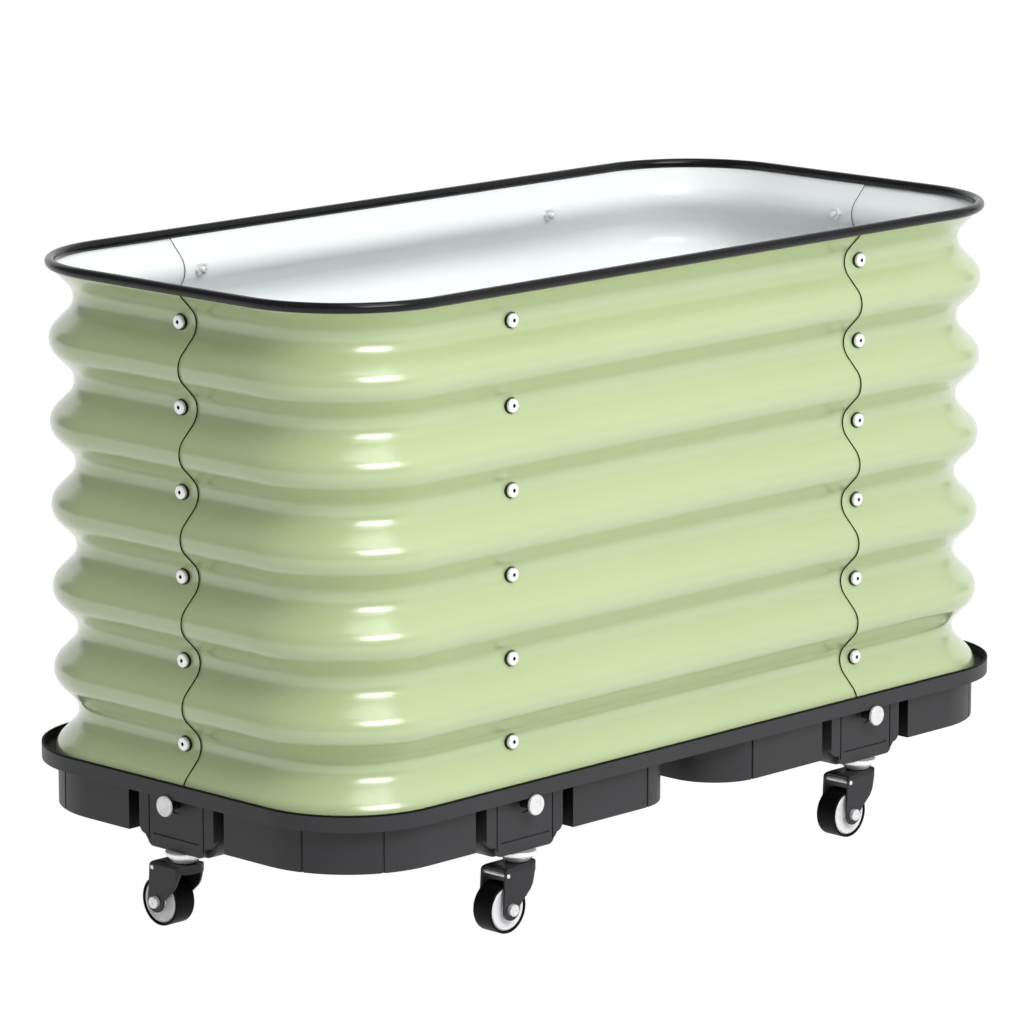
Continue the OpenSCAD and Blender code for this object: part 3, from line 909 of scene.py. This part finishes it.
@dataclass
class WallBolts:
    """Flat bolts with sealing washers outside and nuts inside, in columns of one per valley."""

    head_r: float = 0.00625
    head_h: float = 0.0032
    round_r: float = 0.0011
    round_turn: float = 0.45 * math.pi
    crown: float = 0.0003
    socket_r: float = 0.0019
    socket_h: float = 0.0018
    socket_floor: float = 0.0004
    shank_r: float = 0.003
    shank_bevel: float = 0.0006
    tip: float = 0.0025
    washer_r: float = 0.0071
    washer_h: float = 0.0024
    washer_bevel: float = 0.0004
    bore_r: float = 0.0031
    nut_af: float = 0.01
    nut_h: float = 0.005
    nut_bevel: float = 0.0005

    def head(self, finishes: Paintbox) -> Piece:
        """Makes the head, with its underside on the origin's plane.

        Args:
            finishes: The finishes, bright outside, and black in the hexagonal socket as painted
                shade.

        Returns:
            The head.
        """
        shoulder = self.head_r - self.round_r
        side = self.head_h - self.crown - self.round_r * math.sin(self.round_turn)
        piece = Piece.dot("bolt_head", ORIGIN)
        piece.trace((self.head_r, 0), (self.head_r, side))
        piece.arc((shoulder, 0, side), FRONT, self.round_turn, 6)
        piece.trace((0, self.head_h))
        piece.spin_round(steps=36)
        socket = Piece.cylinder("socket", self.socket_r, self.head_h, sides=6)
        socket.put((0, 0, self.head_h - self.socket_h))
        piece.cut(socket)
        piece.paint(finishes.bright, finishes.black)
        # The socket's faces are painted black: painted shade in the recess.
        piece.dress(1, lambda p: p.xy.length < self.socket_r and p.z > NEAR)
        return piece

    def shank(self, reach: float) -> Piece:
        """Makes the shank.

        Args:
            reach: How far it goes below the head.

        Returns:
            The shank, from inside the head to its end behind the nut.
        """
        start = self.head_h - self.socket_h - self.socket_floor
        end = -reach - self.shank_bevel
        piece = Piece.dot("bolt_shank", (0, 0, start))
        piece.trace(
            (self.shank_r, start), (self.shank_r, -reach), (self.shank_r - self.shank_bevel, end),
            (0, end),
        )
        piece.spin_round(steps=20)
        return piece

    def washer(self, valley: float) -> Piece:
        """Makes a sealing washer whose back is pressed round by the wall's valley.

        Args:
            valley: Radius of the valley's outer face, whose axis runs along Y here.

        Returns:
            The washer, its face along +Z.
        """
        piece = Piece.dot("washer", (self.bore_r, 0, 0))
        piece.trace(
            (self.washer_r, 0), (self.washer_r, self.washer_h - self.washer_bevel),
            (self.washer_r - self.washer_bevel, self.washer_h), (self.bore_r, self.washer_h),
            (self.bore_r, 0),
        )
        piece.spin_round(steps=40)
        trough = Piece.cylinder("trough", valley, 4 * self.washer_r, sides=160)
        trough.put((0, 0, -2 * self.washer_r))
        trough.lay()
        trough.put((0, 0, valley))
        piece.cut(trough, Keep.INSIDE)
        return piece

    def nut(self) -> Piece:
        """Makes a hexagonal nut with rounded edges.

        Returns:
            The nut, along -Z from the origin.
        """
        corner_r = self.nut_af / 2 / math.cos(math.pi / 6)
        piece = Piece.cylinder("nut", corner_r, self.nut_h, sides=6)
        piece.put((0, 0, -self.nut_h))
        piece.soften(self.nut_bevel, angle=25)
        bore = Piece.cylinder("bore", self.bore_r, 3 * self.nut_h, sides=24)
        bore.put((0, 0, -2 * self.nut_h))
        piece.cut(bore)
        return piece

    def places(self, wall: Wall) -> Iterator[tuple[Matrix, Matrix]]:
        """Gives every bolt's place.

        Args:
            wall: The wall.

        Yields:
            The places of what sits outside the wall, with +Z outward, and of what sits inside.
        """
        x, y, lap = wall.bolts_x, wall.half_width, wall.lap_set
        wave = wall.wave
        for spot, angle, lift in (
            ((-x, -y), -90, 0.0), ((x, -y), -90, lap), ((x, y), 90, 0.0), ((-x, y), 90, lap),
            ((-wall.half_length, 0), 180, lap), ((wall.half_length, 0), 0, lap),
        ):
            turn = Matrix.Rotation(math.radians(angle), 4, "Z")
            valley = Matrix.Translation((lift - wave.depth, 0, 0))
            outward = turn @ valley @ Matrix.Rotation(QUARTER, 4, "Y")
            through = Matrix.Translation((0, 0, -wave.sheet - lift - SEAT))
            for k in range(wave.waves):
                level = wave.foot + wave.pitch * (k + 0.5)
                outside = Matrix.Translation((*spot, level)) @ outward
                yield outside, outside @ through

    def build(self, wall: Wall, finishes: Paintbox) -> None:
        """Copies one bolt, washer and nut to every place.

        Args:
            wall: The wall.
            finishes: The finishes.
        """
        head = self.head(finishes)
        nut = self.nut()
        washer = self.washer(wall.wave.radius - wall.wave.sheet / 2 - SEAT)
        washer.paint(finishes.washer)
        stack = self.washer_h + wall.wave.sheet + wall.lap_set
        shank = self.shank(stack + self.nut_h + self.tip)
        shank.paint(finishes.bright)
        head.join(shank)
        head.put((0, 0, self.washer_h))
        nut.paint(finishes.zinc)
        outside, inside = zip(*self.places(wall))
        for model, places, name, slot, node in (
            (head, outside, "wall_bolts", "bright_metal", "panel_bolts"),
            (washer, outside, "wall_washers", "washer_rubber", "panel_washers"),
            (nut, inside, "wall_nuts", "zinc", "panel_nuts"),
        ):
            first, *rest = [model.stamp(place) for place in places]
            first.join(*rest)
            model.remove()
            row = Piece(first.obj, name)
            row.smooth()
            row.finish(slot, node)


# Tray and blocks


@dataclass(frozen=True)
class Station:
    """A place for a caster: the middle of its block's face, and the block's turn."""

    name: str
    x: float
    y: float
    angle: float

    def inward(self, point: Vector) -> Vector:
        """A point as seen from this station: X along the block's face, Y into the planter."""
        away = point - Vector((self.x, self.y, 0))
        return Matrix.Rotation(math.radians(-self.angle), 3, "Z") @ away

    def fetch(self, part: str) -> Piece:
        """Copies this station's CAD piece to a station on the origin; it must be unturned."""
        piece = Piece.cad_copy(part, f"{self.name}_{part}")
        piece.put((-self.x, -self.y, 0))
        return piece

    def carry(self, model: Piece, name: str) -> Piece:
        """Copies a piece that was modelled at a station on the origin to this one."""
        copy = model.copy(f"{self.name}_{name}")
        copy.put((self.x, self.y, 0), math.radians(self.angle))
        return copy


def stations(wall: Wall) -> list[Station]:
    """Finds the six stations from the CAD blocks.

    Args:
        wall: The wall, for the places along the long sides.

    Returns:
        The stations.
    """
    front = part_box("front_left_block")[0].y
    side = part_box("left_side_block")[0].x
    return [
        Station("front_left", -wall.bolts_x, front, 0),
        Station("front_right", wall.bolts_x, front, 0),
        Station("back_left", -wall.bolts_x, -front, 180),
        Station("back_right", wall.bolts_x, -front, 180),
        Station("left_side", side, 0, -90),
        Station("right_side", -side, 0, 90),
    ]


def spread(
    places: list[Station], models: tuple[tuple[Piece, str, Material, str, str], ...]
) -> None:
    """Copies the pieces of one station to all of them.

    Args:
        places: The stations.
        models: For each piece its model, name, finish and slot, and the part of the station
            that it rides on, or nothing where it is fixed to the planter.
    """
    for model, name, finish, slot, rider in models:
        model.paint(finish)
        model.smooth()
        for place in places:
            copy = place.carry(model, f"{name}_piece")
            body = f"{place.name}_{rider}" if rider else "planter"
            copy.finish(slot, f"{place.name}_{name}", body=body)
        model.remove()


@dataclass
class Tray:
    """The moulded tray with its lip, two basins and grooves."""

    edge: float = 0.0007
    ledge_z: float = 0.1295
    lip_top: float = 0.1365
    lip_shadow_band: float = 0.0015
    niche_half: float = 0.0616
    niche_face: float = 0.001
    niche_back: float = 0.05
    niche_top: float = 0.1285

    def build(self, places: list[Station], finishes: Paintbox) -> None:
        """Rounds the edges of the tray and dresses it, with painted shade in its niches and a
        painted shadow line round the wall's foot.

        Args:
            places: The stations, whose niches are painted black as shade.
            finishes: The finishes; the lip's top band and the wall's channel are painted near black
                as the shadow in the gap between wall and lip.
        """
        shadow_line_z = self.lip_top - self.lip_shadow_band
        piece = Piece.cad_copy("tray", "base_tray")
        piece.soften(self.edge)
        # The lip is cut at the foot of its painted shadow band.
        piece.edit(Pick.FACES)
        bpy.ops.mesh.bisect(plane_co=(0, 0, shadow_line_z), plane_no=UP)
        piece.done()
        piece.paint(finishes.tray, finishes.black, finishes.edge)
        # Painted shadow: the wall's channel and the lip's top band, near black.
        piece.dress(2, lambda p: abs(p.z - self.ledge_z) < NEAR or p.z > shadow_line_z)
        # Painted shade: the faces inside the niches, black.
        piece.dress(1, lambda p: any(self._in_niche(p, place) for place in places))
        piece.smooth()
        piece.finish("tray_plastic", "base_tray")

    def _in_niche(self, point: Vector, place: Station) -> bool:
        """Tells whether a point lies inside a niche.

        Args:
            point: The point.
            place: The station of the niche.

        Returns:
            Whether it does.
        """
        local = place.inward(point)
        return (
            abs(local.x) < self.niche_half
            and self.niche_face < local.y < self.niche_back
            and point.z < self.niche_top
        )


@dataclass
class Block:
    """The block that carries a caster, its plug, and the plug's cap."""

    edge: float = 0.0008
    plug_z: float = 0.115
    shank_r: float = 0.00495
    shank_l: float = 0.022
    shank_bevel: float = 0.0008
    neck: float = 0.012
    neck_r: tuple[float, float] = (0.00445, 0.00605)
    flare_h: float = 0.0007
    rings: int = 4
    # Outline of a ring in X and Z, from the top of its step
    ring: tuple[Spot, ...] = ((0, -0.0009), (0.0003, -0.0007), (0.0003, -0.0002), (0, 0))
    cap_r: float = 0.0092
    cap_t: float = 0.003
    cap_bevel: float = 0.0003
    cap_round: float = 0.0008
    cap_seat: float = 0.001
    # The cap's face in X and Z, from the end of its round rim
    cap_dish: tuple[Spot, ...] = ((-0.0016, 0), (-0.0028, -0.0004))
    cap_sink: float = 0.0005

    def body(self, home: Station) -> Piece:
        """Makes the block.

        Args:
            home: The station whose CAD block is taken.

        Returns:
            The block with its edges rounded.
        """
        piece = home.fetch("block")
        piece.soften(self.edge)
        return piece

    def plug(self) -> Piece:
        """Makes the plug: a shank, a ringed neck that widens outward, and a flare under the cap.

        Returns:
            The plug, laid at its height.
        """
        slim, wide = self.neck_r
        end = -self.shank_l
        piece = Piece.dot("plug", (0, 0, end))
        piece.trace(
            (self.shank_r - self.shank_bevel, end), (self.shank_r, end + self.shank_bevel),
            (self.shank_r, 0), (slim, 0),
        )
        steps = self.rings + 1
        for k in range(1, steps + 1):
            radius = slim + (wide - slim) * k / steps
            level = (self.neck - self.flare_h) * k / steps
            outline = self.ring if k < steps else (self.ring[0], self.ring[-1])
            piece.trace(*((radius + x, level + z) for x, z in outline))
        piece.trace((self.cap_r - self.cap_seat, self.neck), (0, self.neck))
        piece.spin_round(steps=36)
        return self.stand(piece, 0.0)

    def cap(self) -> Piece:
        """Makes the cap: a disc with a rounded rim and a shallow dish in its face.

        Returns:
            The cap, laid at its height.
        """
        rim = self.cap_r - self.cap_round
        face = self.cap_t - self.cap_round
        piece = Piece.dot("plug_cap", ORIGIN)
        piece.trace((self.cap_r - self.cap_bevel, 0), (self.cap_r, self.cap_bevel))
        piece.trace((self.cap_r, face))
        piece.arc((rim, 0, face), FRONT, QUARTER, 5)
        piece.trace(*((rim + x, self.cap_t + z) for x, z in self.cap_dish))
        piece.trace((0, self.cap_t - self.cap_sink))
        piece.spin_round(steps=40)
        return self.stand(piece, self.neck)

    def stand(self, piece: Piece, shift: float) -> Piece:
        """Turns a spun piece from +Z to the outward -Y, at the plug's height.

        Args:
            piece: The piece.
            shift: How far it stands in front of the block's face.

        Returns:
            The same piece.
        """
        piece.lay()
        piece.put((0, -shift, self.plug_z))
        return piece

    def build(self, places: list[Station], finishes: Paintbox) -> None:
        """Copies the block, plug and cap to every station.

        Args:
            places: The stations.
            finishes: The finishes.
        """
        spread(places, (
            (self.body(places[0]), "block", finishes.tray, "tray_plastic", ""),
            (self.plug(), "plug", finishes.black, "black_plastic", "plug"),
            (self.cap(), "plug_cap", finishes.cap, "cap_plastic", "plug"),
        ))


@dataclass
class BlockScrews:
    """Screws that hold the blocks to the tray, with cross recesses."""

    edge: float = 0.0004

    def build(self, finishes: Paintbox) -> None:
        """Rounds the screws and dresses them.

        Args:
            finishes: The finishes.
        """
        piece = Piece.cad_copy("tray_screws", "block_screws")
        piece.soften(self.edge)
        piece.paint(finishes.zinc)
        piece.smooth(40)
        piece.finish("zinc", "block_screws")


# Casters


@dataclass
class Caster:
    """A swivel caster. Modelled with its block's face on the origin, trailing along -X."""

    pin_y: float = 0.010
    trail: float = 0.022
    axle_z: float = 0.0225
    block_z: float = 0.071
    crown_z: float = 0.0605
    # Kingpin and race; the outlines are X and Z
    pin_r: float = 0.004
    pin_head_r: float = 0.007
    pin_head_low: float = 0.0055
    pin_head_h: float = 0.0026
    pin_head_side: float = 0.0014
    stem_r: float = 0.005
    stem_l: float = 0.030
    stem_bevel: Spot = (0.0015, 0.002)
    race_r: float = 0.0175
    race_round: float = 0.0012
    cone_foot: tuple[Spot, ...] = ((-0.0075, 0), (-0.0063, 0.0006))
    cone: tuple[Spot, ...] = (
        (-0.0025, -0.0056), (-0.0021, -0.0048), (-0.0031, -0.0046), (-0.0031, -0.0039),
        (0, -0.0036),
    )
    # Fork, axle and cross pin
    fork_half: float = 0.0155
    fork_t: float = 0.002
    fork_edge: float = 0.0007
    axle_r: float = 0.003
    head_r: float = 0.0055
    head_h: float = 0.004
    head_edge: tuple[Spot, ...] = ((0, -0.001), (-0.0003, -0.0004), (-0.0011, 0))
    head_dish: tuple[Spot, ...] = ((0.0016, 0), (0.0012, -0.0006), (0, -0.0006))
    cross_r: float = 0.002
    cross_x: float = 0.0262
    cross_z: float = 0.0535
    cross_seat: float = 0.0001
    cross_bevel: float = 0.0004
    # Wheel
    wheel_r: float = 0.0225
    tyre_w: float = 0.022
    tyre_t: float = 0.0027
    tyre_gap: float = 0.0002
    tyre_clear: float = 0.00001
    hub_inset: float = 0.0005
    bore_r: float = 0.00305
    boss_r: float = 0.0065
    boss_bevel: float = 0.0004
    dish_depth: float = 0.0011
    dish_foot: float = 0.0012
    dish_rim: tuple[Spot, ...] = ((-0.0036, -0.0011), (-0.0028, 0), (-0.0012, 0), (0, -0.0012))

    def race(self) -> Piece:
        """Makes the race: kingpin and head, a cone and a cup with the ball gap, and the stem.

        Returns:
            The race at its place.
        """
        low = self.crown_z + FREE
        under = self.crown_z - self.fork_t - FREE
        rim = self.race_r - self.race_round
        side = self.block_z - self.race_round
        stem_top = self.block_z + self.stem_l
        foot = under - self.pin_head_h
        piece = Piece.dot("race", (0, 0, foot))
        piece.trace(
            (self.pin_head_low, foot), (self.pin_head_r, under - self.pin_head_side),
            (self.pin_head_r, under), (self.pin_r, under), (self.pin_r, low),
        )
        piece.trace(*((self.race_r + x, low + z) for x, z in self.cone_foot))
        piece.trace(*((self.race_r + x, self.block_z + z) for x, z in self.cone))
        piece.trace((self.race_r, side))
        piece.arc((rim, 0, side), FRONT, QUARTER, 4)
        piece.trace(
            (self.stem_r, self.block_z), (self.stem_r, stem_top - self.stem_bevel[1]),
            (self.stem_r - self.stem_bevel[0], stem_top), (0, stem_top),
        )
        piece.spin_round(steps=48)
        piece.put((0, self.pin_y, 0))
        return piece

    def fork(self, home: Station) -> Piece:
        """Makes the fork.

        Args:
            home: The station whose CAD fork is taken.

        Returns:
            The fork with its edges rounded.
        """
        piece = home.fetch("fork")
        piece.soften(self.fork_edge, segments=3)
        return piece

    def axle(self) -> Piece:
        """Makes the axle with its two round heads, and the pin across the fork.

        Returns:
            Both in one piece, at their places.
        """
        half = self.fork_half + SEAT
        end = half + self.head_h
        rod = Piece.dot("axle", ORIGIN)
        rod.trace((self.axle_r, 0), (self.axle_r, half), (self.head_r, half))
        rod.trace(*((self.head_r + x, end + z) for x, z in self.head_edge))
        rod.trace(*((x, end + z) for x, z in self.head_dish))
        rod.spin_round(steps=36)
        self._lay_twin(rod, self.trail, self.axle_z)
        half = self.fork_half + self.cross_seat
        end = half + self.cross_bevel
        pin = Piece.dot("cross_pin", ORIGIN)
        pin.trace((self.cross_r, 0), (self.cross_r, half))
        pin.trace((self.cross_r - self.cross_bevel, end), (0, end))
        pin.spin_round(steps=20)
        self._lay_twin(pin, self.cross_x, self.cross_z)
        rod.join(pin)
        return rod

    def _lay_twin(self, piece: Piece, back: float, height: float) -> None:
        """Makes a whole of a spun half with a closed foot, and lays it across the fork.

        Args:
            piece: The half.
            back: How far it lies behind the kingpin.
            height: Its height.
        """
        piece.choose(lambda p: abs(p.z) < MERGE)
        bpy.ops.mesh.delete(type="FACE")
        piece.done()
        piece.mirror_up()
        piece.lay()
        piece.put((-back, self.pin_y, height))

    def hub(self) -> Piece:
        """Makes the hub: a disc with a shallow recess in each face and a boss in the middle.

        Returns:
            The hub at its place.
        """
        rim = self.wheel_r - self.tyre_t
        half = self.tyre_w / 2 - self.hub_inset
        boss = self.fork_half - self.fork_t - FREE
        floor = half - self.dish_depth
        piece = Piece.dot("hub", (self.bore_r, 0, 0))
        piece.trace(
            (self.bore_r, boss), (self.boss_r - self.boss_bevel, boss),
            (self.boss_r, boss - self.boss_bevel), (self.boss_r, floor),
            (self.boss_r + self.dish_foot, floor),
        )
        piece.trace(*((rim + x, half + z) for x, z in self.dish_rim), (rim, 0))
        piece.spin_round(steps=64)
        return self._lay_wheel(piece)

    def tyre(self) -> Piece:
        """Makes the tyre: a ring with round shoulders, clear of the hub.

        Returns:
            The tyre at its place.
        """
        inner = self.wheel_r - self.tyre_t + self.tyre_gap
        shoulder = (self.tyre_t - self.tyre_gap) / 2 - self.tyre_clear
        side = self.tyre_w / 2 - shoulder
        piece = Piece.dot("tyre", (inner, 0, 0))
        piece.trace((inner, side))
        piece.arc((inner + shoulder, 0, side), BACK, math.pi, 12)
        piece.trace((inner + 2 * shoulder, 0))
        piece.spin_round(steps=72)
        return self._lay_wheel(piece)

    def _lay_wheel(self, piece: Piece) -> Piece:
        """Makes a whole of an open half of a wheel, and lays it along the axle.

        Args:
            piece: The half.

        Returns:
            The same piece.
        """
        piece.mirror_up()
        piece.lay()
        piece.put((-self.trail, self.pin_y, self.axle_z))
        return piece

    def build(self, places: list[Station], finishes: Paintbox) -> None:
        """Copies the caster's pieces to every station.

        Args:
            places: The stations.
            finishes: The finishes.
        """
        spread(places, (
            (self.race(), "race", finishes.bright, "zinc", ""),
            (self.fork(places[0]), "fork", finishes.fork, "fork_paint", "swivel"),
            (self.axle(), "axle", finishes.zinc, "zinc", "swivel"),
            (self.hub(), "hub", finishes.hub, "hub_plastic", "wheel"),
            (self.tyre(), "tyre", finishes.tyre, "tyre_rubber", "wheel"),
        ))


# Stage


@dataclass(frozen=True)
class Lamp:
    """A soft rectangular lamp, with its power in watts."""

    name: str
    place: Point
    aim: Point
    size: tuple[float, float]
    power: float

    def hang(self) -> None:
        """Adds the lamp to the scene."""
        data = bpy.data.lights.new(self.name, "AREA")
        data.shape = "RECTANGLE"
        data.size, data.size_y = self.size
        data.energy = self.power
        lamp = bpy.data.objects.new(self.name, data)
        lamp.location = self.place
        beam = Vector(self.aim) - Vector(self.place)
        lamp.rotation_euler = beam.to_track_quat("-Z", "Y").to_euler()
        bpy.context.scene.collection.objects.link(lamp)


@dataclass
class Studio:
    """Floor, world, lamps and camera."""

    floor_size: float = 60.0
    backdrop_size: float = 18.0
    backdrop_distance: float = 8.4
    paper_glow: float = 1.16
    glow_share: float = 0.85
    ambient: float = 0.32
    target: Point = (0.0, 0.0, 0.3545)
    distance: float = 5.212
    yaw: float = 0.800
    pitch: float = 0.204
    focal_px: float = 5643.0
    image_px: float = 1024.0
    shift_right: float = -0.0160
    shift_up: float = -0.0437
    lamps: tuple[Lamp, ...] = (
        Lamp("front_softbox", (-0.8, -2.9, 2.5), (-0.15, 0, 0.35), (2.0, 1.5), 76),
        Lamp("overhead", (-0.25, -1.2, 3.6), (0, 0, 0.3), (1.6, 2.0), 21),
        Lamp("right_reflector", (3.08, -3.15, 3.75), (0, 0, 0.94), (6.6, 8.9), 82),
    )

    def camera(self) -> None:
        """Sets the camera at the photograph's angle."""
        level = math.cos(self.pitch)
        ahead = Vector(
            (level * math.sin(self.yaw), level * math.cos(self.yaw), -math.sin(self.pitch))
        )
        right = ahead.cross(Vector(UP)).normalized()
        up = right.cross(ahead)
        data = bpy.data.cameras.new("camera")
        data.sensor_width = 36.0
        data.sensor_fit = "HORIZONTAL"
        data.lens = self.focal_px / self.image_px * data.sensor_width
        data.clip_end = 100.0
        camera = bpy.data.objects.new("camera", data)
        bpy.context.scene.collection.objects.link(camera)
        shift = self.shift_right * right + self.shift_up * up
        place = Vector(self.target) - self.distance * ahead + shift
        turn = Matrix((right, up, -ahead)).transposed().to_4x4()
        camera.matrix_world = Matrix.Translation(place) @ turn
        bpy.context.scene.camera = camera

    def world(self) -> None:
        """A dim, even world round the object that is pure white behind it."""
        world = bpy.data.worlds.new("world")
        bpy.context.scene.world = world
        world.use_nodes = True
        graph = Graph(world.node_tree)
        seen = graph.node("ShaderNodeLightPath")["Is Camera Ray"]
        level = graph.node("ShaderNodeMapRange", Value=seen, To_Min=self.ambient, To_Max=1.0)
        background = world.node_tree.nodes["Background"]
        graph.plug(background.inputs["Color"], (1.0, 1.0, 1.0))
        graph.plug(background.inputs["Strength"], level["Result"])

    def paper(self) -> Material:
        """Makes white paper that shows white and keeps the object's shadow.

        Returns:
            The material.
        """
        shader = Shader("floor_paper")
        shader.set(Base_Color=(0.8, 0.8, 0.8), Roughness=0.9, Specular_IOR_Level=0.0)
        surface = Wire(shader, shader.surface.outputs["BSDF"])
        glow = shader.node("ShaderNodeEmission", Strength=self.paper_glow)["Emission"]
        rays = shader.node("ShaderNodeLightPath")
        share = (rays["Is Camera Ray"] + rays["Is Glossy Ray"]) * self.glow_share
        blend = shader.node("ShaderNodeMixShader", share, surface, glow)["Shader"]
        shader.plug(shader.tree.nodes["Material Output"].inputs["Surface"], blend)
        return shader.material

    def floor_and_backdrop(self) -> None:
        """A wide floor, and a wall of the same paper behind the object, out of the picture."""
        paper = self.paper()
        behind = Vector((math.sin(self.yaw), math.cos(self.yaw), 0)) * self.backdrop_distance
        for name, size, place, turn in (
            ("floor", self.floor_size, ORIGIN, ORIGIN),
            ("backdrop", self.backdrop_size, behind, (QUARTER, 0, -self.yaw)),
        ):
            Piece.clear()
            bpy.ops.mesh.primitive_plane_add(size=size, location=place, rotation=turn)
            obj = bpy.context.object
            obj.name = name
            obj.data.materials.append(paper)

    def build(self) -> None:
        """Sets the stage."""
        bpy.context.scene.view_settings.view_transform = "Standard"
        self.camera()
        for lamp in self.lamps:
            lamp.hang()
        self.world()
        self.floor_and_backdrop()


def main() -> None:
    """Builds the planter and its stage."""
    logging.basicConfig(level=logging.INFO, format="%(name)s: %(message)s")
    finishes = Paintbox()
    wall = Wall()
    wall.build(finishes)
    RimEdging().build(wall, finishes)
    WallBolts().build(wall, finishes)
    places = stations(wall)
    Tray().build(places, finishes)
    Block().build(places, finishes)
    BlockScrews().build(finishes)
    Caster().build(places, finishes)
    Studio().build()


if __name__ == "__main__":
    main()
